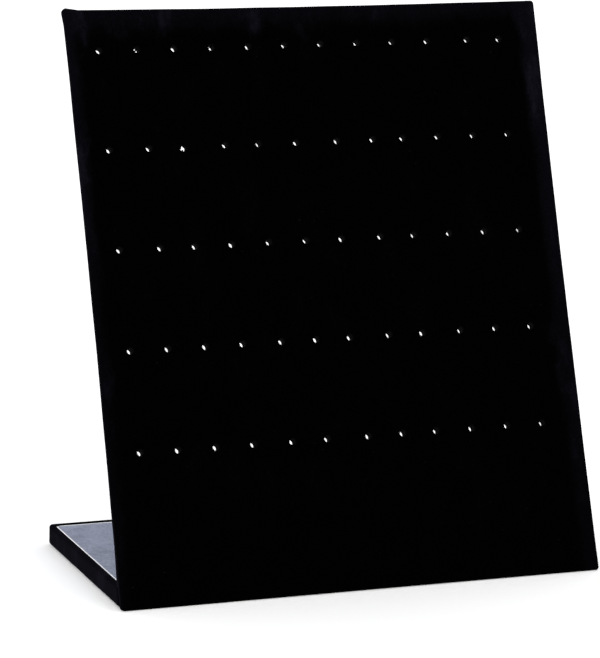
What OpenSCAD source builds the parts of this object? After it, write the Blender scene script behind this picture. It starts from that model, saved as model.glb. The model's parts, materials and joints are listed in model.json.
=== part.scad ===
// Earring display stand: a velvet-covered panel pierced with rows of earring holes, leaning back
// from a flat velvet-covered foot. X runs across the panel, Y runs back over the foot, Z is up,
// and the origin is on the table under the middle of the stand.

/* [Panel] */
// Width of the stand, measured over the velvet
panel_w = 200; // [140:1:320]
// Length of the panel's front face, up the slope from the table to its top edge
panel_slant = 236; // [140:1:320]
// Angle by which the panel leans back from upright
lean = 20; // [10:1:25]
// Thickness of the fibreboard inside the panel
panel_board_t = 2.4; // [1.6:0.1:5]

/* [Foot] */
// Depth of the foot on the table, from the panel's front edge to the back edge
foot_depth = 104; // [80:1:180]
// Thickness of the fibreboard inside the foot
foot_board_t = 7; // [5:0.5:18]

/* [Velvet] */
// Thickness of the velvet with its pile
velvet_t = 0.6; // [0.4:0.1:0.8]
// Outer radius of the velvet where it turns over a board's edge
edge_r = 1.2; // [1:0.1:2]
// Width of the hem that is turned onto the panel's back and the foot's top
hem_w = 12; // [8:0.5:20]
// Width over which the hem's inner edge thins out to nothing
hem_skive = 1.5; // [0.5:0.1:3]
// Width of the slit where two hems meet at a mitred corner
mitre_slit = 0.3; // [0.2:0.1:0.8]

/* [Liners] */
// Thickness of the flocked liner sheets
liner_t = 0.5; // [0.3:0.1:1]
// Velvet that shows between a liner and the side edges
side_rim = 1.8; // [1.5:0.1:6]
// Velvet that shows between the foot's liner and the back edge
back_rim = 3; // [2:0.1:6]
// Velvet that shows between the back liner and the panel's top edge
top_rim = 3; // [2:0.1:6]
// Corner radius of the liner sheets
liner_corner_r = 1.5; // [0.5:0.1:4]
// Clearance between the foot's liner and the panel that rises in front of it
liner_gap = 0.3; // [0.1:0.1:1]

/* [Earring holes] */
// Diameter of an earring hole
hole_d = 2.6; // [1.6:0.1:4]
// Distance between neighbouring holes in a row
hole_pitch = 15.45; // [10:0.05:30]
// Distance between neighbouring rows, along the slope
row_pitch = 39.8; // [20:0.1:80]
// Distance from the panel's left edge to the first hole of a row
left_margin = 11.8; // [8:0.1:30]
// Least distance from the last hole of a row to the panel's right edge
right_margin = 17; // [8:0.1:30]
// Distance from the panel's top edge down the slope to the first row
top_margin = 16.2; // [8:0.1:40]
// Least distance up the slope from the table to the last row
bottom_margin = 55; // [30:1:90]
// Angle by which the punched grid sits askew on the panel
grid_skew = 0.25; // [-1:0.05:1]

/* [Brads] */
// Diameter of the brads that pin the panel's board to the foot's board
brad_d = 1.2; // [0.8:0.1:2]
// Length of a brad
brad_l = 18; // [12:1:30]
// Diameter of a brad's head
brad_head_d = 2; // [1.4:0.1:3]
// Thickness of a brad's head
brad_head_t = 0.5; // [0.3:0.1:0.8]
// Length of a brad's point
brad_point_l = 2; // [1:0.5:4]
// Diameter of the blunt end of a brad's point
brad_tip_d = 0.3; // [0.2:0.1:0.6]
// Greatest distance between neighbouring brads
brad_pitch = 50; // [25:1:100]
// Distance from the first and last brad to the side edges
brad_margin = 25; // [10:1:40]
// Depth of a brad's head below the face of the panel's board
brad_sink = 0.1; // [0:0.1:0.4]

/* [Hidden] */
$fn = 48;

// Holes that the punch set off the grid: row from the top, column from the left, and how far to the right
STRAYS = [
    [1, 11, 2.3], [1, 12, 1],
    [2, 2, 0.8], [2, 4, 1.6], [2, 6, 0.6], [2, 7, 2.5], [2, 8, 2.5],
    [3, 2, 1.3], [3, 8, 1.2],
    [4, 5, 0.8], [4, 7, -1.2], [4, 9, -0.9],
    [5, 5, 0.8], [5, 7, 2], [5, 8, 1.2]
];

VELVET = [0.03, 0.03, 0.04];
FIBREBOARD = [0.62, 0.48, 0.33];
FLOCK = [0.54, 0.56, 0.63];
STEEL = [0.75, 0.76, 0.78];

// Depths behind the panel's front face, and heights above the table
board_back = velvet_t + panel_board_t;
panel_t = board_back + velvet_t;
foot_board_top = velvet_t + foot_board_t;
foot_t = foot_board_top + velvet_t;
board_w = panel_w - 2 * velvet_t;

// How far the round lower front edge lies behind the sharp corner of the panel's face and the table,
// and the place of that corner, which centres the stand on the origin
nose = edge_r / tan(45 - lean / 2) - edge_r;
front_y = -(foot_depth + nose) / 2;

// Chords in the arc of a rounded corner, how far a cutter runs past what it cuts, and a length past everything
arc_steps = 5;
lap = 1;
reach = 2 * (panel_w + panel_slant + foot_depth);

hole_cols = 1 + floor((panel_w - left_margin - right_margin) / hole_pitch);
hole_rows = 1 + floor((panel_slant - top_margin - bottom_margin) / row_pitch);
grid_corner = [left_margin - panel_w / 2, panel_slant - top_margin];
grid_centre = grid_corner + [(hole_cols - 1) * hole_pitch, -(hole_rows - 1) * row_pitch] / 2;

brad_spread = panel_w - 2 * brad_margin;
brad_gaps = ceil(brad_spread / brad_pitch);
brad_z = velvet_t + foot_board_t / 2;

// Height up the slope of a point at this depth that lies this high above the table
function up_slope(depth, height) = (height + depth * sin(lean)) / cos(lean);

// Distance back from the front edge of a point at this depth that lies this high above the table
function back_from_edge(depth, height) = (depth + height * sin(lean)) / cos(lean);

// Corner p between its neighbours a and b, turned through an arc of radius r, or left sharp where r is 0
function corner(a, p, b, r) =
    let (
        to_a = (a - p) / norm(a - p),
        to_b = (b - p) / norm(b - p),
        half = acos(to_a * to_b) / 2,
        centre = p + (to_a + to_b) / norm(to_a + to_b) * r / sin(half),
        first = p + to_a * r / tan(half) - centre,
        turn = (180 - 2 * half) / arc_steps
    )
    r == 0 ? [p] : [
        for (k = [0:arc_steps])
            let (angle = atan2(first.y, first.x) + k * turn)
            centre + r * [cos(angle), sin(angle)]
    ];

// Outline through these points, listed anticlockwise, with one radius for each corner
function rounded(points, radii) =
    let (n = len(points))
    [
        for (i = [0:n - 1])
            each corner(points[(i + n - 1) % n], points[i], points[(i + 1) % n], radii[i])
    ];

// Corners of a rectangle, anticlockwise from its lowest corner
function box(low, high) = [low, [high.x, low.y], high, [low.x, high.y]];

// How far the punch set this hole off the grid
function stray(row, col) =
    let (found = [for (s = STRAYS) if (s[0] == row && s[1] == col) s[2]])
    len(found) > 0 ? found[0] : 0;

// Centre of a hole on the panel's face: across from the middle, and up the slope
function hole_at(row, col) =
    let (
        on_grid = grid_corner + [(col - 1) * hole_pitch + stray(row, col), -(row - 1) * row_pitch],
        arm = on_grid - grid_centre
    )
    grid_centre + [
        arm.x * cos(grid_skew) - arm.y * sin(grid_skew),
        arm.x * sin(grid_skew) + arm.y * cos(grid_skew)
    ];

// Outline drawn back (first number) and up (second), extruded across a width
module across(width)
    translate([-width / 2, 0, 0]) rotate([90, 0, 90]) linear_extrude(width) children();

// Outline drawn across and up, extruded back to a depth
module backwards(depth)
    translate([0, depth, 0]) rotate([90, 0, 0]) linear_extrude(depth) children();

// The panel's own frame: Y is depth behind its front face, Z runs up the slope
module on_panel()
    translate([0, front_y, 0]) rotate([-lean, 0, 0]) children();

// The face of the panel's board that looks back: X is reversed, Y runs up the slope, Z runs backwards
module on_panel_back()
    on_panel() translate([0, board_back, 0]) rotate([90, 0, 180]) children();

// The foot's frame: Y is the distance back from the panel's front edge
module on_foot()
    translate([0, front_y, 0]) children();

// All that lies less than this depth behind the panel's front face
module in_front_of(depth)
    on_panel() translate([-reach / 2, depth - reach, -reach / 2]) cube(reach);

// All that lies lower than this height above the table
module below(height)
    translate([-reach / 2, -reach / 2, height - reach]) cube(reach);

// All that lies higher than this height above the table
module above(height)
    translate([-reach / 2, -reach / 2, height]) cube(reach);

// Opening inside three hems, on a board in the XY plane, from the level low upwards. Its near end
// is open, its side hems are width apart and its far hem starts at length where they meet the
// board, and each hem thins out towards the board.
module hem_window(width, length, low = 0) {
    high = velvet_t + lap;
    spread = hem_skive / velvet_t;
    intersection() {
        translate([0, length + reach / 2, 0]) rotate([90, 0, 0]) linear_extrude(reach) polygon([
            [-width / 2 - low * spread, low],
            [width / 2 + low * spread, low],
            [width / 2 + high * spread, high],
            [-width / 2 - high * spread, high]
        ]);
        across(panel_w) polygon([
            [-reach / 2, low],
            [length + low * spread, low],
            [length + high * spread, high],
            [-reach / 2, high]
        ]);
    }
}

// Slits along the mitres of the two far corners, cut through hems that turn at half_w and length
module hem_mitres(half_w, length)
    for (side = [-1, 1])
        translate([side * half_w, length, 0])
            rotate([0, 0, side * 45])
                translate([-mitre_slit / 2, -2 * hem_w, 0])
                    cube([mitre_slit, 2 * hem_w, velvet_t + lap]);

// Liner sheet that lies on the board inside the hems and rides up over them, with its far end cut
// to an outline whose corners are rounded
module liner_sheet(half_w, length, window_length) {
    outline = rounded(
        box([-half_w, 0], [half_w, length]),
        [0, 0, liner_corner_r, liner_corner_r]
    );
    difference() {
        linear_extrude(velvet_t + liner_t) polygon(outline);
        difference() {
            translate([-half_w - lap, -lap, -lap]) cube([2 * (half_w + lap), length + 2 * lap, velvet_t + lap]);
            hem_window(panel_w - 2 * hem_w, window_length, -lap / 2);
        }
        translate([0, 0, liner_t]) hem_window(panel_w - 2 * hem_w, window_length);
    }
}

// Outer form of the velvet over the panel, in the panel's own frame
module wrapped_panel() {
    half_w = panel_w / 2;
    intersection() {
        across(panel_w) polygon(rounded(
            [[0, 0], [panel_t, up_slope(panel_t, 0)], [panel_t, panel_slant], [0, panel_slant]],
            [edge_r, 0, velvet_t, edge_r]
        ));
        backwards(panel_t) polygon(rounded(
            box([-half_w, 0], [half_w, panel_slant]),
            [edge_r, edge_r, edge_r, edge_r]
        ));
        linear_extrude(panel_slant) polygon(rounded(
            box([-half_w, 0], [half_w, panel_t]),
            [edge_r, edge_r, velvet_t, velvet_t]
        ));
    }
}

// Outer form of the velvet over the foot, in the foot's frame
module wrapped_foot() {
    half_w = panel_w / 2;
    intersection() {
        across(panel_w) polygon(rounded(
            box([0, 0], [foot_depth, foot_t]),
            [0, edge_r, edge_r, 0]
        ));
        linear_extrude(foot_t) polygon(rounded(
            box([-half_w, 0], [half_w, foot_depth]),
            [0, 0, edge_r, edge_r]
        ));
        backwards(foot_depth) polygon(rounded(
            box([-half_w, 0], [half_w, foot_t]),
            [edge_r, edge_r, edge_r, edge_r]
        ));
    }
}

// The panel's board before it is pierced, with its lower end cut level
module panel_blank()
    on_panel() across(board_w) polygon([
        [velvet_t, up_slope(velvet_t, velvet_t)],
        [board_back, up_slope(board_back, velvet_t)],
        [board_back, panel_slant - velvet_t],
        [velvet_t, panel_slant - velvet_t]
    ]);

// The foot's board before it is pierced, with its front end bevelled to the panel's lean. What it
// is cut out of may need it to run some way past that end.
module foot_blank(past = 0)
    on_foot() across(board_w) polygon([
        [back_from_edge(board_back, velvet_t) - past, velvet_t],
        [foot_depth - velvet_t, velvet_t],
        [foot_depth - velvet_t, foot_board_top],
        [back_from_edge(board_back, foot_board_top) - past, foot_board_top]
    ]);

// Earring holes, square to the panel and right through it
module earring_holes()
    on_panel()
        for (row = [1:hole_rows])
            for (col = [1:hole_cols])
                let (at = hole_at(row, col))
                translate([at.x, -lap, at.y])
                    rotate([-90, 0, 0])
                        cylinder(d = hole_d, h = panel_t + liner_t + 2 * lap);

// Places children at each brad's head, with Z along the brad into the foot
module at_brads() {
    head_y = back_from_edge(velvet_t, brad_z + brad_head_d / 2) + brad_sink;
    on_foot()
        for (i = [0:brad_gaps])
            translate([(i / brad_gaps - 1 / 2) * brad_spread, head_y, brad_z])
                rotate([-90, 0, 0])
                    children();
}

// One brad, from its head to its point
module brad() {
    cylinder(d = brad_head_d, h = brad_head_t);
    cylinder(d = brad_d, h = brad_l - brad_point_l);
    translate([0, 0, brad_l - brad_point_l])
        cylinder(d1 = brad_d, d2 = brad_tip_d, h = brad_point_l);
}

// What a driven brad leaves in the boards: its own form, and the pit over its head
module brad_hole() {
    brad();
    translate([0, 0, -board_back]) cylinder(d = brad_head_d, h = board_back + brad_head_t);
}

module panel_board()
    color(FIBREBOARD) difference() {
        panel_blank();
        earring_holes();
        at_brads() brad_hole();
    }

module foot_board()
    color(FIBREBOARD) difference() {
        foot_blank();
        at_brads() brad_hole();
    }

module panel_brads()
    color(STEEL) at_brads() brad();

module panel_velvet()
    color(VELVET) difference() {
        on_panel() wrapped_panel();
        difference() {
            below(foot_t);
            in_front_of(board_back);
        }
        panel_blank();
        intersection() {
            above(foot_t);
            on_panel_back() hem_window(panel_w - 2 * hem_w, panel_slant - hem_w, -lap / 2);
        }
        on_panel_back() hem_mitres(board_w / 2, panel_slant - velvet_t);
        earring_holes();
    }

module foot_velvet()
    color(VELVET) difference() {
        on_foot() wrapped_foot();
        in_front_of(board_back);
        foot_blank(lap);
        on_foot() translate([0, 0, foot_board_top])
            hem_window(panel_w - 2 * hem_w, foot_depth - hem_w, -lap / 2);
        on_foot() translate([0, 0, foot_board_top]) hem_mitres(board_w / 2, foot_depth - velvet_t);
    }

module back_liner()
    color(FLOCK) difference() {
        on_panel_back() liner_sheet(panel_w / 2 - side_rim, panel_slant - top_rim, panel_slant - hem_w);
        below(foot_t);
        earring_holes();
    }

module foot_liner()
    color(FLOCK) difference() {
        on_foot() translate([0, 0, foot_board_top])
            liner_sheet(panel_w / 2 - side_rim, foot_depth - back_rim, foot_depth - hem_w);
        in_front_of(board_back + liner_gap);
        intersection() {
            above(foot_t);
            in_front_of(panel_t + liner_t + liner_gap);
        }
    }

panel_board();
foot_board();
panel_brads();
panel_velvet();
foot_velvet();
back_liner();
foot_liner();
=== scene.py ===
import json
import math
import random

import bmesh
import bpy
import numpy as np
from mathutils import Matrix, Vector, geometry, noise


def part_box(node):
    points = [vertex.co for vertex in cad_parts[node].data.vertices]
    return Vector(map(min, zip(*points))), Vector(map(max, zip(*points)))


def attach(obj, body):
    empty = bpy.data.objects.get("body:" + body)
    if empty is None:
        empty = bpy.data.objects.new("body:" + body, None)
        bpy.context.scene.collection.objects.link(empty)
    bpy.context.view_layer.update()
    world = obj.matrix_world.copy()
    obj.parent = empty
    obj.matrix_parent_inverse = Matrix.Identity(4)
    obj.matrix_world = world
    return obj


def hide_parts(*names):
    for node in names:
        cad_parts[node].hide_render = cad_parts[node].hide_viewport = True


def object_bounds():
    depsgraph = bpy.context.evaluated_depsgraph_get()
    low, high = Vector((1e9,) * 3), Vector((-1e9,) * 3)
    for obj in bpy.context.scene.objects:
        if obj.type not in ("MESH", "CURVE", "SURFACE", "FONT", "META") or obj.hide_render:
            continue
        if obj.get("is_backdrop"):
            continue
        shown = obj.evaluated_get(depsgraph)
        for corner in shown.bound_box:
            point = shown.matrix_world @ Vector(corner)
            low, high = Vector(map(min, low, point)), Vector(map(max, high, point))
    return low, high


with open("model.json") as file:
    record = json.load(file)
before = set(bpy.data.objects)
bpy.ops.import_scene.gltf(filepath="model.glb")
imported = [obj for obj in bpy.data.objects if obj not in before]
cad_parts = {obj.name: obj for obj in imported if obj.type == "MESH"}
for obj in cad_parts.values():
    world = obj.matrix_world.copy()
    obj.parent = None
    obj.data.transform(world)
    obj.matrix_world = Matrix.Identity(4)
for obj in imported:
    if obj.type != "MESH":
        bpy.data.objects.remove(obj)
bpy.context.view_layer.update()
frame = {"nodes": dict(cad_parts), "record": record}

# The panel's board: 2.4 mm fibreboard, dyed black right through, sawn square and pierced by the
# punch. Only the walls of the earring holes show it.
MM = 0.001
DYED_DARK = (0.0008, 0.0008, 0.0009)
DYED_LIGHT = (0.0028, 0.0026, 0.0026)


class Socket:
    """A value in a material's node tree, with arithmetic that adds the nodes it needs."""

    def __init__(self, finish, socket):
        self.finish = finish
        self.socket = socket

    def math(self, operation, *values):
        return self.finish.node("ShaderNodeMath", {"operation": operation}, dict(enumerate(values)))["Value"]

    def __add__(self, other):
        return self.math("ADD", self, other)

    def __sub__(self, other):
        return self.math("SUBTRACT", self, other)

    def __rsub__(self, other):
        return self.math("SUBTRACT", other, self)

    def __mul__(self, other):
        return self.math("MULTIPLY", self, other)

    def __abs__(self):
        return self.math("ABSOLUTE", self)

    __radd__ = __add__
    __rmul__ = __mul__


class Node:
    """One node of a material, whose outputs are read by name."""

    def __init__(self, finish, node):
        self.finish = finish
        self.node = node

    def __getitem__(self, output):
        return Socket(self.finish, self.node.outputs[output])


class Finish:
    """A material under construction."""

    def __init__(self, name):
        self.material = bpy.data.materials.new(name)
        self.material.use_nodes = True
        self.tree = self.material.node_tree
        self.tree.nodes.clear()

    def node(self, kind, settings=None, inputs=None):
        """Adds a node, with its settings first and then the values or links of its sockets."""
        node = self.tree.nodes.new(kind)
        for name, value in (settings or {}).items():
            setattr(node, name, value)
        for name, value in (inputs or {}).items():
            if isinstance(value, Socket):
                self.tree.links.new(value.socket, node.inputs[name])
            else:
                node.inputs[name].default_value = value
        return Node(self, node)

    def place(self):
        """Position on the piece, in millimetres."""
        at = self.node("ShaderNodeTexCoord")["Object"]
        return self.node("ShaderNodeVectorMath", {"operation": "SCALE"}, {0: at, "Scale": 1 / MM})["Vector"]

    def stretched(self, at, x, y, z):
        """The same position, with each axis multiplied."""
        return self.node("ShaderNodeVectorMath", {"operation": "MULTIPLY"}, {0: at, 1: (x, y, z)})["Vector"]

    def grain(self, at, size, detail, roughness, shift=0.0):
        """Soft noise from 0 to 1 whose lumps are about this many millimetres across."""
        return self.node(
            "ShaderNodeTexNoise",
            {"noise_dimensions": "4D"},
            {"Vector": at, "W": shift, "Scale": 1 / size, "Detail": detail, "Roughness": roughness},
        )["Fac"]

    def step(self, value, low, high):
        """0 below low, 1 above high and smooth between."""
        return self.node(
            "ShaderNodeMapRange",
            {"interpolation_type": "SMOOTHSTEP"},
            {"Value": value, "From Min": low, "From Max": high},
        )["Result"]

    def blend(self, share, first, second):
        """Colour that goes from the first to the second."""
        sockets = {0: share, 6: self.colour(first), 7: self.colour(second)}
        mix = self.node("ShaderNodeMix", {"data_type": "RGBA"}, sockets)
        return Socket(self, mix.node.outputs[2])

    def colour(self, value):
        return value if isinstance(value, Socket) else (*value, 1)

    def bump(self, height, millimetres, strength):
        """Normal from a height of 0 to 1 that stands for so many millimetres."""
        sockets = {"Height": height, "Distance": millimetres * MM, "Strength": strength}
        return self.node("ShaderNodeBump", {}, sockets)["Normal"]

    def finished(self, **inputs):
        """Closes the material with its shader and returns it."""
        sockets = {name.replace("_", " "): value for name, value in inputs.items()}
        shader = self.node("ShaderNodeBsdfPrincipled", {}, sockets)
        self.node("ShaderNodeOutputMaterial", {}, {"Surface": shader["BSDF"]})
        return self.material


def fibreboard(name, dark, light):
    """Pressed wood fibre: short flecks that lie in the board's plane, and a dusty sawn surface."""
    finish = Finish(name)
    at = finish.place()
    flecks = finish.grain(finish.stretched(at, 1, 1, 3), 0.35, 3, 0.6)
    clouds = finish.grain(at, 9, 2, 0.5, 4)
    share = finish.step(flecks * 0.75 + clouds * 0.25, 0.35, 0.65)
    return finish.finished(
        Base_Color=finish.blend(share, dark, light),
        Roughness=0.85 + share * 0.1,
        Specular_IOR_Level=0.05,
        Normal=finish.bump(flecks, 0.08, 0.6),
    )


def dress(node, material):
    """Gives a carried-over part its material."""
    part = frame["nodes"][node]
    part.data.materials.clear()
    part.data.materials.append(material)


dress("panel_board", fibreboard("dyed_fibreboard", DYED_DARK, DYED_LIGHT))

# The foot's board: 7 mm raw fibreboard with a bevelled front end. The velvet and the liner cover
# all of it.
RAW_DARK = (0.20, 0.12, 0.06)
RAW_LIGHT = (0.38, 0.25, 0.14)
dress("foot_board", fibreboard("raw_fibreboard", RAW_DARK, RAW_LIGHT))

# The brads: four lengths of drawn wire with flat heads, driven through the panel's board into the
# foot's bevelled end.
BRIGHT_WIRE = (0.58, 0.58, 0.59)
DULL_WIRE = (0.33, 0.32, 0.30)

wire = Finish("brad_wire")
wire_at = wire.place()
draw_lines = wire.grain(wire.stretched(wire_at, 6, 0.15, 6), 0.6, 3, 0.6)
dull_spots = wire.step(wire.grain(wire_at, 1.2, 3, 0.6, 2), 0.5, 0.68)
dress(
    "panel_brads",
    wire.finished(
        Base_Color=wire.blend(dull_spots, BRIGHT_WIRE, DULL_WIRE),
        Metallic=1.0,
        Roughness=0.28 + draw_lines * 0.15 + dull_spots * 0.2,
        Normal=wire.bump(draw_lines, 0.02, 0.5),
    ),
)

# The panel's velvet: black cotton velvet with a short pile, glued over the board's front and edges
# and turned onto its back in hems, 12 mm wide and mitred at the top corners. The glue pulled its
# edges slightly out of true, and its own holes sit a little off the board's.
EDGE_R = 1.2  # over the board's front edges
EDGE_POINTS = 7
HEM_EDGE_R = 0.6  # onto the board's back
HEM_EDGE_POINTS = 5
SIDE_DEPTHS = (1.8, 2.4)  # of the points on the cloth's flat edge
HEM_W = 12
MITRE_SLIT = 0.3
HOLE_EASE = 0.16  # by which the cloth's holes are larger in radius than the board's
CLOTH_DRIFT = (0.68, 0.5)  # of the front's holes from the board's, across and up
LINER_DRIFT = (0.4, -0.05)  # of the holes in the hems and in the back liner
SCATTER = 0.07  # of each of the front's holes
OPEN_DRIFT = (-0.58, -0.55)  # of the one hole that the punch met squarely
PUFF = 0.4  # of the pile past the edges
DRAWN_IN = 0.3  # at the middle of an edge, and as much out at its corners
EASE_IN = 2  # how far inside an edge the cloth starts to move
WAVE = 0.13
WAVE_LENGTH = 22
NOISE_LEVEL = 3.7
SIDE_LINE = 50  # the line of the noise that a side's waves are read from
TOP_LINE = 90
DOG_EAR = 0.9
EAR_SPREAD = 5  # square millimetres over which it fades
EAR_ASIDE = 0.6  # share of it that goes sideways
FILLET = 3.2  # at the level of the foot's top
FILLET_REACH = 12.0

row_ends = [m for m in frame["record"]["mounts"] if m["kind"] == "bolt_pattern"]
back = -Vector(row_ends[0]["axis"])
up = Vector((0, -back.z, back.y))


def corners_of(node):
    """A node's vertices as an array, in millimetres."""
    return np.array([v.co for v in frame["nodes"][node].data.vertices]) / MM


front_depth = (corners_of("panel_velvet") @ np.array(back)).min()
front_edge = Vector((0, front_depth / back.y, 0))


def panel_place(node):
    """A node's vertices on the panel: across, depth behind the panel's face, and up the slope."""
    points = corners_of(node) - np.array(front_edge)
    return np.stack([points[:, 0], points @ np.array(back), points @ np.array(up)], axis=1)


def on_panel(points):
    """Places on the panel, back in the stand's own axes."""
    points = np.asarray(points, float)
    placed = points[..., :1] * np.array((1, 0, 0)) + points[..., 1:2] * np.array(back)
    return placed + points[..., 2:3] * np.array(up) + np.array(front_edge)


skin = panel_place("panel_velvet")
core = panel_place("panel_board")
HALF_W, PANEL_T, SLANT = skin.max(axis=0)
VELVET_T = core[:, 1].min()
BOARD_BACK = core[:, 1].max()
FOOT_T = corners_of("foot_velvet")[:, 2].max()
SLOPE = up.y / up.z
HOLE_R = row_ends[0]["dims"]["hole_r_mm"] + HOLE_EASE
flat_w = HALF_W - EDGE_R
flat_top = SLANT - EDGE_R
HEM_EDGE = EDGE_R - HEM_EDGE_R
lean_angle = math.degrees(math.atan(SLOPE))
bottom_tangent = EDGE_R / math.tan(math.radians(90 - lean_angle) / 2)


def foot_level(depth):
    """Place up the slope, at this depth, of the level of the foot's top."""
    return (FOOT_T - depth * back.z) / up.z


def wander(a, b, length):
    """Smooth waves from -1 to 1 or so, the same at every run."""
    return noise.noise(Vector((a / length, b / length, NOISE_LEVEL)))


def settled(points):
    """Panel places as the cloth really lies: its edges drawn in between the corners and wavy, a
    small dog-ear at the upper left corner, and a fillet of glue and cloth where the back meets
    the foot."""
    moved = np.array(points, float)
    for point in moved.reshape(-1, 3):
        x, depth, z = point
        beside = (z - SLANT / 2) / (SLANT / 2)
        across = x / HALF_W
        bow = PUFF + DRAWN_IN * (2 * min(abs(beside), abs(across)) ** 2 - 1)
        side = max(abs(x) - flat_w + EASE_IN, 0) / (EDGE_R + EASE_IN)
        top = max(z - flat_top + EASE_IN, 0) / (EDGE_R + EASE_IN)
        foot = max(bottom_tangent + EASE_IN - z, 0) / (bottom_tangent + EASE_IN)
        point[0] += math.copysign(side, x) * (bow + WAVE * wander(z, across * SIDE_LINE, WAVE_LENGTH))
        from_corner = math.hypot(x + flat_w + EDGE_R / 2, z - flat_top - EDGE_R / 2)
        ear = DOG_EAR * math.exp(-from_corner ** 2 / EAR_SPREAD)
        point[0] -= side * ear * EAR_ASIDE
        point[2] += top * (bow + ear + WAVE * wander(x, TOP_LINE, WAVE_LENGTH))
        point[2] += min(foot, 1) * DRAWN_IN * (1 - across * across) / 3
        if depth > BOARD_BACK:
            share = min((depth - BOARD_BACK) / VELVET_T, 1)
            point[1] += share * FILLET * math.exp(-max(z - foot_level(depth), 0) / FILLET_REACH)
    return on_panel(moved)


ON_FACE = 0.12  # depth within which a corner of the board is on its face
SAME_HOLE = 3  # distance within which two rim points are of one hole
SAME_ROW = 12


def hole_centres():
    """Centres of the earring holes, row by row from the top left, read off their rims on the face
    of the panel's board."""
    rims = core[(core[:, 1] < VELVET_T + ON_FACE) & (core[:, 2] < flat_top)]
    rims = rims[(abs(rims[:, 0]) < flat_w) & (rims[:, 2] > 2 * FOOT_T)][:, [0, 2]]
    groups = []
    for point in rims:
        group = next((g for g in groups if np.hypot(*(g[0] - point)) < SAME_HOLE), None)
        if group is None:
            groups.append([point])
        else:
            group.append(point)
    centres = [(np.min(g, axis=0) + np.max(g, axis=0)) / 2 for g in groups]
    return sorted(centres, key=lambda c: (-round(c[1] / SAME_ROW), c[0]))


holes = np.array(hole_centres())
COLUMNS = len(holes) // len(row_ends)
OPEN_HOLE = COLUMNS + 2
chance = random.Random(60)
drifts = np.array([[chance.gauss(0, SCATTER), chance.gauss(0, SCATTER)] for _ in holes])
drifts[OPEN_HOLE] = OPEN_DRIFT
cloth_holes = holes + np.array(CLOTH_DRIFT) + drifts
liner_holes = holes + np.array(LINER_DRIFT)

SAME_POINT = 0.004  # distance within which the points of two patches are joined
NO_LENGTH = 0.002
FACING = 0.99  # cosine above which a face looks straight outward


class Cloth:
    """A sheet that is laid out patch by patch, each with the number of its finish."""

    def __init__(self, place):
        self.place = place
        self.points = []
        self.faces = []
        self.finishes = []

    def patch(self, points, faces, finish=0):
        start = len(self.points)
        self.points += [tuple(p) for p in self.place(points)]
        self.faces += [tuple(start + i for i in face) for face in faces]
        self.finishes += [finish] * len(faces)

    def band(self, rows, finish=0):
        """Quads between rows of points, each row as long as the next."""
        rows = np.asarray(rows, float)
        count, width = rows.shape[:2]
        corners = [i * width + j for i in range(count - 1) for j in range(width - 1)]
        quads = [(a, a + 1, a + 1 + width, a + width) for a in corners]
        self.patch(rows.reshape(-1, 3), quads, finish)

    def piece(self, name, materials, thickness=0, outward=None):
        """Joins the patches into one object and thickens it away from its outer side, which faces
        outward on the part that lies farthest that way."""
        mesh = bpy.data.meshes.new(name)
        mesh.from_pydata([Vector(p) * MM for p in self.points], [], self.faces)
        for material in materials:
            mesh.materials.append(material)
        mesh.polygons.foreach_set("material_index", self.finishes)
        piece = bpy.data.objects.new(name, mesh)
        bpy.context.scene.collection.objects.link(piece)
        mesh.shade_smooth()
        if not thickness:
            return piece
        work = bmesh.new()
        work.from_mesh(mesh)
        bmesh.ops.remove_doubles(work, verts=work.verts, dist=SAME_POINT * MM)
        bmesh.ops.dissolve_degenerate(work, edges=work.edges, dist=NO_LENGTH * MM)
        bmesh.ops.recalc_face_normals(work, faces=work.faces)
        flat = [f for f in work.faces if abs(f.normal.dot(outward)) > FACING]
        front = max(flat, key=lambda f: f.calc_center_median().dot(outward))
        if front.normal.dot(outward) < 0:
            bmesh.ops.reverse_faces(work, faces=work.faces)
        work.to_mesh(mesh)
        work.free()
        mesh.shade_smooth()
        solid = piece.modifiers.new("thickness", "SOLIDIFY")
        solid.thickness = thickness * MM
        solid.offset = -1
        solid.material_offset_rim = len(materials) - 1
        return piece


def inside(outline, points):
    """Which points lie inside a closed outline."""
    x, y = np.asarray(points, float).reshape(-1, 2).T
    odd = np.zeros(len(x), bool)
    for (ax, ay), (bx, by) in zip(outline, outline[1:] + outline[:1]):
        if ay != by:
            odd ^= ((ay > y) != (by > y)) & (x < ax + (y - ay) * (bx - ax) / (by - ay))
    return odd


def gap(point, others):
    """Distance from a point to the nearest of some others, which may be none."""
    return np.hypot(*(np.reshape(others, (-1, 2)) - point).T).min(initial=np.inf)


STATION = 4.0  # between the points of a patch
CLEAR_OF_HOLE = 0.6
CLEAR_OF_CREASE = 1
CLEAR_OF_BORDER = 0.3
RIM_POINTS = 28
PUNCHED_OUT = 0.97  # share of a hole's radius inside which no triangle is kept
MERGED = 1e-4  # distance within which the points of a patch become one
REPEATED = 1e-6


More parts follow.
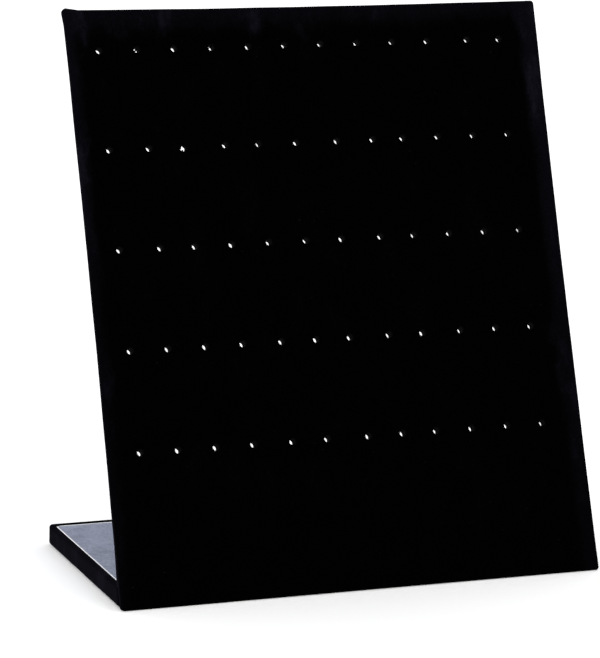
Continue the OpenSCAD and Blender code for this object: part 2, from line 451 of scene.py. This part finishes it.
def lay(outline, depth_of, centres=(), rings=((0, 0),), creases=()):
    """Triangles of a flat patch inside an outline of (across, up), cut by the earring holes that it
    meets. Rings round each hole are (radius, how far it is pressed in), creases are more points to
    keep, and depth_of gives the depth of the rest. Returns points as across, depth and up."""
    low, high = np.min(outline, axis=0), np.max(outline, axis=0)
    reach = rings[-1][0]
    cut = [c for c in centres if (c > low - reach).all() and (c < high + reach).all()]
    flat = [tuple(p) for p in outline]
    edges = [(i, (i + 1) % len(flat)) for i in range(len(flat))]
    across = np.arange(low[0] + STATION / 2, high[0], STATION)
    upwards = np.arange(low[1] + STATION / 2, high[1], STATION)
    grid = np.array([(x, z + (i % 2) * STATION / 2) for i, x in enumerate(across) for z in upwards])
    creased = np.reshape(creases, (-1, 2))
    creased = creased[inside(outline, creased)]
    for point in grid[inside(outline, grid)]:
        clear = gap(point, outline) > STATION / 2 and gap(point, creased) > CLEAR_OF_CREASE
        if clear and gap(point, cut) > reach + CLEAR_OF_HOLE:
            flat.append(tuple(point))
    flat += [tuple(p) for p in creased if gap(p, outline) > CLEAR_OF_BORDER]
    pressed = {}
    for centre in cut:
        for ring, (radius, sunk) in enumerate(rings):
            start = len(flat)
            for k in range(RIM_POINTS):
                angle = 2 * math.pi * (k + 0.5 * (ring % 2)) / RIM_POINTS
                pressed[len(flat)] = sunk
                flat.append((centre[0] + radius * math.cos(angle), centre[1] + radius * math.sin(angle)))
            if ring == 0:
                edges += [(start + k, start + (k + 1) % RIM_POINTS) for k in range(RIM_POINTS)]
    flat = [Vector(p) for p in flat]
    points, _, faces, source, _, _ = geometry.delaunay_2d_cdt(flat, edges, [], 0, MERGED)
    middles = np.array([np.mean([points[i] for i in face], axis=0) for face in faces])
    kept = inside(outline, middles)
    for centre in cut:
        kept &= np.hypot(*(middles - centre).T) > rings[0][0] * PUNCHED_OUT
    placed = [
        (p.x, depth_of(p.x, p.y) + (pressed.get(s[0], 0) if s else 0), p.y)
        for p, s in zip(points, source)
    ]
    return placed, [face for face, keep in zip(faces, kept) if keep]


def arc(radius, start, end, steps):
    """Points of an arc about the origin, in degrees from the second axis."""
    return [
        (radius * math.sin(math.radians(a)), radius * math.cos(math.radians(a)))
        for a in np.linspace(start, end, steps)
    ]


def station(at, out, profile):
    """A profile stood on the border of the flat: at (across, up), heading out (across, up)."""
    return [(at[0] + out[0] * o, d, at[1] + out[1] * o) for o, d in profile]


def along_side(side, profile, near, far, shares):
    """A profile carried along a side edge, from near(depth) to far."""
    return [
        [(side * (flat_w + o), d, near(d) + share * (far - near(d))) for o, d in profile]
        for share in shares
    ]


def fan(corner, start, end, first, last):
    """Stations that turn round a corner of the flat, in degrees from straight across, while the
    first profile becomes the last."""
    rows = []
    for share in np.linspace(0, 1, EDGE_POINTS):
        angle = math.radians(start + (end - start) * share)
        profile = np.array(first) * (1 - share) + np.array(last) * share
        rows.append(station(corner, (math.cos(angle), math.sin(angle)), profile))
    return rows


def round_three(profile, near, far, shares):
    """A profile carried up the left side, across the far end and down the right side: its rows for
    the left, the left corner, the far end, the right corner and the right."""
    return [
        along_side(-1, profile, near, far, shares),
        fan((-flat_w, far), 180, 90, profile, profile),
        [station((x, far), (0, 1), profile) for x in widths],
        fan((flat_w, far), 90, 0, profile, profile),
        along_side(1, profile, near, far, shares)[::-1],
    ]


def joined(parts):
    """Runs of rows as one, without the row that each shares with the one before."""
    return parts[0] + [row for part in parts[1:] for row in part[1:]]


def edge_of(rows, column):
    """The outline that one column of some rows follows."""
    return [(row[column][0], row[column][2]) for row in rows]


def without_repeats(outline):
    """An outline without the points that lie on the next one."""
    return [p for p, q in zip(outline, outline[1:] + outline[:1]) if math.dist(p, q) > REPEATED]


SHARES = (0, 0.35, 0.7, 1)  # along a mitre or along a fibre of a tuft
SIDE_HEM_POINTS = 40
END_HEM_POINTS = 44


def mitred_hems(turned, depth, centres=(), creases=()):
    """Three hems as flat patches between the turned edge and their own inner edge, cut apart along
    the mitres of the two far corners, and pierced and creased as lay says."""
    left, left_turn, end, right_turn, right = (edge_of(rows, -1) for rows in turned)
    reach = HEM_W - EDGE_R
    far = end[0][1] - HEM_EDGE
    middle = len(left_turn) // 2
    outlines = []
    for side, border, turn in ((-1, left, left_turn), (1, right[::-1], right_turn[::-1])):
        mitre = [(side * (flat_w - reach * s), far - MITRE_SLIT - reach * s) for s in SHARES]
        inner_edge = np.linspace(mitre[-1][1], border[0][1], SIDE_HEM_POINTS)
        inner = [(side * (flat_w - reach), z) for z in inner_edge]
        close = [(side * (flat_w - reach * s), border[0][1]) for s in SHARES[:0:-1]]
        outlines.append(border + turn[1:middle] + mitre + inner[1:-1] + close)
    rising = [(-flat_w + reach * s, far - reach * s) for s in SHARES[::-1]]
    falling = [(-x, z) for x, z in rising[::-1]]
    inner = [(x, far - reach) for x in np.linspace(flat_w - reach, reach - flat_w, END_HEM_POINTS)]
    top = left_turn[middle:] + end[1:-1] + right_turn[:middle + 1]
    outlines.append(rising + top + falling + inner[1:-1])
    return [lay(outline, depth, centres, [(HOLE_R, 0)], creases) for outline in outlines]


# Profiles: distances outwards from the flat of the face, and depths behind it
over_side = [(o, EDGE_R - d) for o, d in arc(EDGE_R, 0, 90, EDGE_POINTS)]
over_side += [(EDGE_R, d) for d in (*SIDE_DEPTHS, BOARD_BACK)]
under_edge = [(o, EDGE_R - d) for o, d in arc(EDGE_R, 0, 90 + lean_angle, EDGE_POINTS + 1)]
under_edge += [(bottom_tangent - d * SLOPE, d) for d in (SIDE_DEPTHS[-1], BOARD_BACK)]
onto_back = [(HEM_EDGE + o, BOARD_BACK + d) for d, o in arc(HEM_EDGE_R, 0, 90, HEM_EDGE_POINTS)]

heights = np.linspace(0, 1, round((flat_top - foot_level(BOARD_BACK)) / STATION))
low_heights = np.linspace(bottom_tangent, foot_level(BOARD_BACK), 4)[:-1]
widths = np.linspace(-flat_w, flat_w, round(2 * flat_w / STATION))
low_sides = [[station((side * flat_w, z), (side, 0), over_side) for z in low_heights] for side in (-1, 1)]
ring = low_sides[0] + joined(round_three(over_side, lambda d: foot_level(BOARD_BACK), flat_top, heights))
ring += low_sides[1][::-1]
ring += fan((flat_w, bottom_tangent), 0, -90, over_side, under_edge)[1:]
ring += [station((x, bottom_tangent), (0, -1), under_edge) for x in widths[::-1][1:]]
ring += fan((-flat_w, bottom_tangent), -90, -180, under_edge, over_side)[1:]
turned = round_three(onto_back, foot_level, flat_top, heights)

cloth = Cloth(settled)
cloth.band(ring)
cloth.band(joined(turned))
for points, faces in mitred_hems(turned, lambda x, z: PANEL_T, liner_holes):
    cloth.patch(points, faces)

# How deep the face is pressed in round a hole, at each distance from its rim
PRESSED_IN = {0: 0.12, 0.2: 0.05, 0.5: 0.01, 1.0: 0.0}
pressed_rim = [(HOLE_R + out, depth) for out, depth in PRESSED_IN.items()]
cloth.patch(*lay(without_repeats(edge_of(ring, 0)), lambda x, z: 0, cloth_holes, pressed_rim))


# The lighter, violet colours are painted sheen along the velvet's edges, and also the colour of a few random
# patches of nap.
DEEP_PILE = (0.00022, 0.00021, 0.00024)
DEEP_NAP_AND_SHEEN = (0.0030, 0.0027, 0.0043)
PILE_TIPS = (0.0006, 0.0006, 0.0007)
TIP_NAP_AND_SHEEN = (0.0062, 0.0055, 0.0090)
LINT = (0.03, 0.03, 0.035)
SHEEN = (0.80, 0.74, 1.0)
TOP = SLANT * up.z


def velvet(name, sheen_fade):
    """Black pile: nearly no light comes back from it where it is seen end on. Its colour is painted a little
    lighter and more violet along the sides and the top as painted sheen, where the pile would catch the
    light, mixed with a few random lighter patches of nap. The painted sheen is weaker towards the table, by
    the share that the second argument gives. It holds some lint."""
    finish = Finish(name)
    at = finish.place()
    where = finish.node("ShaderNodeSeparateXYZ", {}, {"Vector": at})
    pile = finish.grain(at, 0.28, 2, 0.6)
    tufts = finish.grain(at, 1.1, 2, 0.6, 3)
    brushed = finish.grain(finish.stretched(at, 1, 1, 0.3), 13, 4, 0.65, 5)
    # Painted sheen: a mask that makes the colour lighter along the sides and the top, where the pile would
    # catch the light, weaker towards the table.
    beside = finish.step(abs(where["X"] + 2) + brushed * 10, HALF_W - 5, HALF_W + 5)
    above = finish.step(where["Z"] + brushed * 18, TOP - 6, TOP + 8)
    height = 1 - sheen_fade * (1 - finish.step(where["Z"], SLANT * 0.1, SLANT * 0.9))
    painted_edge_sheen = finish.step(beside + above * 0.7, 0.1, 1.0) * height
    patches = finish.step(brushed, 0.52, 0.7)
    nap_and_sheen = painted_edge_sheen * (0.45 + 0.8 * patches) + 0.06 * patches
    speck = finish.step(finish.grain(at, 0.9, 0, 0.5, 8), 0.84, 0.87)
    tips = finish.step(pile * 0.6 + tufts * 0.4, 0.35, 0.7)
    deep = finish.blend(nap_and_sheen, DEEP_PILE, DEEP_NAP_AND_SHEEN)
    tipped = finish.blend(tips, deep, finish.blend(nap_and_sheen, PILE_TIPS, TIP_NAP_AND_SHEEN))
    return finish.finished(
        Base_Color=finish.blend(speck * 0.12, tipped, LINT),
        Roughness=0.92 + pile * 0.06,
        Specular_IOR_Level=0.0,
        Sheen_Weight=0.024,
        Sheen_Roughness=0.3,
        Sheen_Tint=(*SHEEN, 1),
        Normal=finish.bump(pile * 0.7 + tufts * 0.5, 0.25, 0.7),
    )


black_velvet = velvet("black_velvet", 0.65)
panel_velvet = cloth.piece("panel_velvet_cover", [black_velvet], VELVET_T, -back)
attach(panel_velvet, "root")
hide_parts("panel_velvet")

# The pile itself, where it shows one fibre at a time: round the rims of the holes, where the punch
# bent it inwards, and along the panel's edges, where it stands on end. Three holes in the upper
# rows have a tuft across them that the punch didn't cut.
RIM_FIBRES = 28
FIBRE_W = 0.11
TAPER = 0.6
ASKEW = Vector((0.31, 0.87, 0.38))  # a direction that no fibre takes
ROOT = 0.12  # of a rim's fibre, out from the hole and down in the pile
TIP = (0.08, 0.09)  # how far it reaches over the hole, mean and spread
TWIST = 0.25
BEND = (0.05, 0.2)
TUFT_DEPTHS = (-0.1, 0.3)
EDGE_FIBRES_PER_MM = 3.0
EDGE_FIBRE_W = FIBRE_W * 0.8
BARE = 0.3  # strip without fibres at each side of an edge
ROUNDING = 0.45  # share by which a fibre's root follows the edge's rounding in
EDGE_ROOT = 0.05
LIFT = (0.1, 0.32)
LEAN = 0.12


def fibre(pile, points, width):
    """A tapered strand of three sides along some panel places, with a point at its end."""
    points = [Vector(p) for p in points]
    way = (points[-1] - points[0]).normalized()
    first = way.cross(ASKEW).normalized()
    second = way.cross(first)
    rings = []
    for k, point in enumerate(points[:-1]):
        reach = width / 2 * (1 - TAPER * k / len(points))
        angles = [2 * math.pi * j / 3 for j in range(3)]
        rings += [point + (first * math.cos(a) + second * math.sin(a)) * reach for a in angles]
    rings.append(points[-1])
    last = 3 * (len(points) - 2)
    faces = [(2, 1, 0)]
    for low in range(0, last, 3):
        faces += [(low + j, low + (j + 1) % 3, low + 3 + (j + 1) % 3, low + 3 + j) for j in range(3)]
    faces += [(last + j, last + (j + 1) % 3, last + 3) for j in range(3)]
    pile.patch(rings, faces)


def bent_in(pile, centre):
    """One fibre of a hole's rim, bent over it by the punch."""
    angle = chance.uniform(0, 2 * math.pi)
    tip_angle = angle + chance.gauss(0, TWIST)
    reach = HOLE_R - abs(chance.gauss(*TIP))
    bend = chance.uniform(*BEND)
    around = [(HOLE_R + ROOT, angle, ROOT), (HOLE_R - 0.02, angle, -bend), (reach, tip_angle, bend - 0.1)]
    places = [(centre[0] + r * math.cos(a), d, centre[1] + r * math.sin(a)) for r, a, d in around]
    fibre(pile, places, FIBRE_W)


def tuft(pile, centre, start, end, spread, count):
    """Uncut fibres across a hole, from start to end as seen from its centre."""
    for _ in range(count):
        offset = [chance.gauss(0, spread), chance.gauss(0, spread)]
        places = [
            (centre[0] + start[0] + (end[0] - start[0]) * s + offset[0], chance.uniform(*TUFT_DEPTHS),
             centre[1] + start[1] + (end[1] - start[1]) * s + offset[1])
            for s in SHARES
        ]
        fibre(pile, places, 2 * FIBRE_W)


rim_pile = Cloth(settled)
for centre in cloth_holes:
    for _ in range(RIM_FIBRES):
        bent_in(rim_pile, centre)
tuft(rim_pile, holes[1], (-1.15, -1.05), (1.3, 1.35), 0.12, 22)
tuft(rim_pile, holes[3], (-1.1, -0.5), (1.4, 1.5), 0.08, 14)
tuft(rim_pile, holes[OPEN_HOLE], (-0.3, -1.7), (-0.5, -0.65), 0.13, 30)
tuft(rim_pile, holes[OPEN_HOLE], (-1.2, 1.25), (-1.1, -0.3), 0.15, 34)
tuft(rim_pile, holes[OPEN_HOLE], (0.15, 1.25), (-0.1, 0.2), 0.12, 24)

edge_pile = Cloth(settled)
edge_rows = joined(round_three(over_side, lambda d: bottom_tangent, flat_top, heights))
walk = without_repeats(edge_of(edge_rows, EDGE_POINTS - 1))
for start, end in zip(walk, walk[1:]):
    way = np.subtract(end, start)
    length = np.hypot(*way)
    out = np.array((-way[1], way[0])) / max(length, 1e-9)
    for _ in range(round(length * EDGE_FIBRES_PER_MM)):
        root = np.array(start) + way * chance.random()
        depth = chance.uniform(BARE, PANEL_T - BARE)
        drop = max(EDGE_R - depth, HEM_EDGE_R - (PANEL_T - depth), 0)
        root = root - out * (drop * ROUNDING + EDGE_ROOT)
        lift = out * chance.uniform(*LIFT) + way / length * chance.gauss(0, LEAN)
        tip = (root[0] + lift[0], depth + chance.gauss(0, LEAN), root[1] + lift[1])
        fibre(edge_pile, [(root[0], depth, root[1]), tip], EDGE_FIBRE_W)

pile_pieces = [
    rim_pile.piece("rim_pile", [black_velvet]),
    edge_pile.piece("edge_pile", [black_velvet]),
]
for pile in pile_pieces:
    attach(pile, "root")

# The foot's velvet: the same cloth, glued under the foot's board and round its edges, and turned onto
# its top in mitred hems. Its front end is cut off flush with the bevel that the panel is pinned to,
# and its pile is crushed where the liner lies on it.
CRUSHED = 0.35
CRUSH_WIDTH = 1.2  # of the slope beside the crushed pile
CRUSH_PAST = 0.9  # share of that slope that lies past the liner's edge
CREASES = (-0.7, -0.35, 0, 0.35, 0.7, 1.1)  # on and beside that slope, out from the liner's edge
CREASE_STEP = 1.5
PILE_RISE = 0.4  # of the pile behind the liner
RISE_GAP = 0.3
RISE_WIDTH = 0.8  # of the slope up to it
FOOT_SIDE_LINE = 40
FOOT_END_LINE = 70
LINE_STEP = 3  # between the lines of the noise, for each millimetre of height
RIPPLE = 0.1
RIPPLE_LENGTH = 4
FOOT_SKIN = VELVET_T * 0.4  # thin enough for the crushed hem to stay clear of the board
FOOT_DEPTH = corners_of("foot_velvet")[:, 1].max() - front_edge.y
foot_far = FOOT_DEPTH - EDGE_R
foot_liner_high = corners_of("foot_liner").max(axis=0)
liner_far = foot_liner_high[1] - front_edge.y


def on_foot(points):
    """Places on the foot, as across, height and distance back, in the stand's own axes, with its
    edges a little wavy."""
    moved = np.array(points, float)
    for point in moved.reshape(-1, 3):
        x, height, length = point
        side = max(abs(x) - flat_w, 0) / EDGE_R
        end = max(length - foot_far, 0) / EDGE_R
        wave = PUFF + WAVE * wander(length, FOOT_SIDE_LINE + LINE_STEP * height, WAVE_LENGTH)
        wave += RIPPLE * wander(length, height, RIPPLE_LENGTH)
        point[0] += math.copysign(min(side, 1), x) * wave
        end_wave = WAVE * wander(x, FOOT_END_LINE + LINE_STEP * height, WAVE_LENGTH)
        point[2] += min(end, 1) * (PUFF + end_wave)
        past = min(max(length - liner_far - RISE_GAP, 0) / RISE_WIDTH, 1)
        point[1] += PILE_RISE * past * min(max(height / FOOT_T * 2 - 1, 0), 1)
    return np.stack([moved[..., 0], moved[..., 2] + front_edge.y, moved[..., 1]], axis=-1)


def bevel(depth, height):
    """Distance back from the panel's front edge to this depth behind its face, at this height."""
    return (depth - height * back.z) / back.y


def foot_front(height):
    return bevel(BOARD_BACK, height)


def eased(value):
    """0 up to 0, 1 from 1 and smooth between."""
    share = min(max(value, 0), 1)
    return share * share * (3 - 2 * share)


def crushed(x, length):
    """Height of the turned hem, lower under the liner than along its edge."""
    out = max(abs(x) - foot_liner_high[0], length - liner_far)
    return FOOT_T - CRUSHED * eased(CRUSH_PAST - out / CRUSH_WIDTH)


up_side = over_side[:EDGE_POINTS] + [(EDGE_R, h) for h in (*range(2, 7), FOOT_T - EDGE_R)]
onto_top = [(o, FOOT_T - EDGE_R + d) for d, o in arc(EDGE_R, 0, 90, EDGE_POINTS)]
lengths = np.linspace(0, 1, round(foot_far / STATION))
foot_ring = joined(round_three(up_side, foot_front, foot_far, lengths))
foot_turned = round_three(onto_top, foot_front, foot_far, lengths)

foot_cloth = Cloth(on_foot)
foot_cloth.band(foot_ring)
foot_cloth.band(joined(foot_turned))
creases = []
for out in CREASES:
    side, end = foot_liner_high[0] + out, liner_far + out
    creases += [(x, z) for x in (-side, side) for z in np.arange(0, end, CREASE_STEP)]
    creases += [(x, end) for x in np.arange(-side, side, CREASE_STEP)]
for points, faces in mitred_hems(foot_turned, crushed, (), creases):
    foot_cloth.patch(points, faces)
under = edge_of(foot_ring, 0) + [(x, foot_front(0)) for x in widths[::-1][1:-1]]
foot_cloth.patch(*lay(without_repeats(under), lambda x, z: 0))
foot_black_velvet = velvet("foot_black_velvet", 0)
foot_velvet = foot_cloth.piece("foot_velvet_cover", [foot_black_velvet], FOOT_SKIN, Vector((0, 0, -1)))
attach(foot_velvet, "root")
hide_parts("foot_velvet")
FOOT_WRAP = FOOT_T + HEM_W
(FOOT_DEPTH - foot_front(0) + FOOT_WRAP) * MM

# The liners: grey flocked sheet, die-cut with round corners and glued over the hems, so that it sinks
# a little between them. Its white paper backing shows along the cut edges.
LINER_T = 0.5
LINER_CORNER_R = 1.5
CORNER_POINTS = 6
CUT_EDGE = 0.45  # width of the pale cut edge along the sides
CUT_END = 1.1  # and along the far end
CUT_DROP = 0.1  # from the face to the cut edge's rim
LINER_SINK = 0.35  # between the hems
SINK_WIDTH = 9.0  # of the slope down to there
LINER_PROUD = 0.08  # of the foot's hems
TUCK = 1.4  # of the foot's liner under the cove
DARK_FLOCK = (0.145, 0.16, 0.218)
LIGHT_FLOCK = (0.24, 0.262, 0.345)
PAPER = (0.78, 0.79, 0.81)
FLUFF = (0.50, 0.52, 0.58)


def flock(name):
    """Short grey-blue fibres on paper: fine grain, and soft clouds where the flock lies differently."""
    finish = Finish(name)
    at = finish.place()
    fibres = finish.grain(at, 0.35, 3, 0.65)
    tufts = finish.grain(at, 1.3, 3, 0.7, 9)
    clouds = finish.grain(at, 5, 3, 0.55, 2)
    swathes = finish.grain(at, 17, 2, 0.5, 6)
    share = finish.step(fibres * 0.25 + tufts * 0.35 + clouds * 0.2 + swathes * 0.2, 0.41, 0.59)
    return finish.finished(
        Base_Color=finish.blend(share, DARK_FLOCK, LIGHT_FLOCK),
        Roughness=0.9 + fibres * 0.08,
        Specular_IOR_Level=0.1,
        Sheen_Weight=0.08,
        Sheen_Roughness=0.5,
        Normal=finish.bump(fibres, 0.1, 0.6),
    )


def cut_paper(name):
    """The white backing at a cut edge, with a few fibres of flock over it."""
    finish = Finish(name)
    at = finish.place()
    fluff = finish.step(finish.grain(at, 0.8, 3, 0.6, 6), 0.5, 0.7)
    return finish.finished(
        Base_Color=finish.blend(fluff, PAPER, FLUFF),
        Roughness=0.85 + fluff * 0.1,
        Specular_IOR_Level=0.2,
        Normal=finish.bump(fluff, 0.1, 0.4),
    )


def liner_outline(half, near, far, radius):
    """A sheet's edge from its near left corner round to its near right one, with round far corners."""
    sides = np.linspace(near, far - radius, round((far - radius - near) / STATION))
    across = np.linspace(radius - half, half - radius, round(2 * half / STATION))
    turn = [(o, d) for d, o in arc(radius, 0, 90, CORNER_POINTS)]
    left = [(-half, z) for z in sides] + [(radius - half - o, far - radius + d) for o, d in turn[1:-1]]
    right = [(-x, z) for x, z in left[::-1]]
    return left + [(x, far) for x in across] + right


def liner(name, place, outward, half, near, far, top, centres):
    """A flocked sheet whose face, pale cut edge and thickness follow its outline."""

    def sunk(x, z):
        edge = min(HALF_W - HEM_W - abs(x), far + EDGE_R - HEM_W - z)
        return top - LINER_SINK * eased(edge / SINK_WIDTH + 0.5)

    sheet = Cloth(place)
    face_edge = liner_outline(half - CUT_EDGE, near, far - CUT_END, LINER_CORNER_R - CUT_EDGE)
    whole_edge = liner_outline(half, near, far, LINER_CORNER_R)
    across = np.linspace(face_edge[-1][0], face_edge[0][0], len(widths))[1:-1]
    sheet.patch(*lay(face_edge + [(x, near) for x in across], sunk, centres, [(HOLE_R, 0)]))
    crest = [(x, sunk(x, z), z) for x, z in face_edge]
    rim = [(x, sunk(x, z) - CUT_DROP, z) for x, z in whole_edge]
    sheet.band([crest, rim], 1)
    finishes = [flock(name + "_flock"), cut_paper(name + "_edge")]
    piece = sheet.piece(name, finishes, LINER_T - CUT_DROP, outward)
    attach(piece, "root")
    return piece


back_liner_high = panel_place("back_liner").max(axis=0)
foot_sheet = liner(
    "foot_liner_sheet", on_foot, Vector((0, 0, 1)), foot_liner_high[0],
    bevel(PANEL_T + FILLET - TUCK, FOOT_T), liner_far, FOOT_T + LINER_PROUD, [],
)
back_sheet = liner(
    "back_liner_sheet", settled, back, back_liner_high[0],
    foot_level(PANEL_T + LINER_T), back_liner_high[2], back_liner_high[1], liner_holes,
)
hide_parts("foot_liner")
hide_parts("back_liner")
laid = [(foot_sheet, "foot_liner", foot_velvet), (back_sheet, "back_liner", panel_velvet)]
for sheet, node, velvet_piece in laid:
    low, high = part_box(node)
    slant = math.hypot(high[1] - low[1], high[2] - low[2]) if sheet == back_sheet else high[1] - low[1]

# The table, the light and the camera: a wide white table under even soft light, seen from the
# photograph's place.
LIGHT = 1.38
TABLE_HALF = 6
WHITE = (1, 1, 1)
TABLE_WHITE = (0.93, 0.93, 0.935)

scene = bpy.context.scene
world = bpy.data.worlds.new("studio")
world.use_nodes = True
world.node_tree.nodes["Background"].inputs["Color"].default_value = (*WHITE, 1)
world.node_tree.nodes["Background"].inputs["Strength"].default_value = LIGHT
scene.world = world

table_mesh = bpy.data.meshes.new("table")
table_corners = [(x * TABLE_HALF, y * TABLE_HALF, 0) for x, y in ((-1, -1), (1, -1), (1, 1), (-1, 1))]
table_mesh.from_pydata(table_corners, [], [(0, 1, 2, 3)])
table = bpy.data.objects.new("table", table_mesh)
scene.collection.objects.link(table)
paper = Finish("table_paper")
table_mesh.materials.append(paper.finished(Base_Color=(*TABLE_WHITE, 1), Roughness=0.9))
table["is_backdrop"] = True

AIM = Vector((-0.01046, 0.0006, 0.0953))
DISTANCE = 1.2976
AZIMUTH = math.radians(-20.37)
ELEVATION = math.radians(11.41)
ROLL = math.radians(0.89)
LENS = 177.07
away = Vector((
    math.sin(AZIMUTH) * math.cos(ELEVATION),
    -math.cos(AZIMUTH) * math.cos(ELEVATION),
    math.sin(ELEVATION),
))
camera = bpy.data.objects.new("camera", bpy.data.cameras.new("camera"))
scene.collection.objects.link(camera)
camera.data.lens = LENS
camera.data.clip_end = 50
turn = (-away).to_track_quat("-Z", "Y").to_matrix().to_4x4() @ Matrix.Rotation(ROLL, 4, "Z")
camera.matrix_world = Matrix.Translation(AIM + away * DISTANCE) @ turn
scene.camera = camera
scene.view_settings.view_transform = "Standard"

low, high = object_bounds()
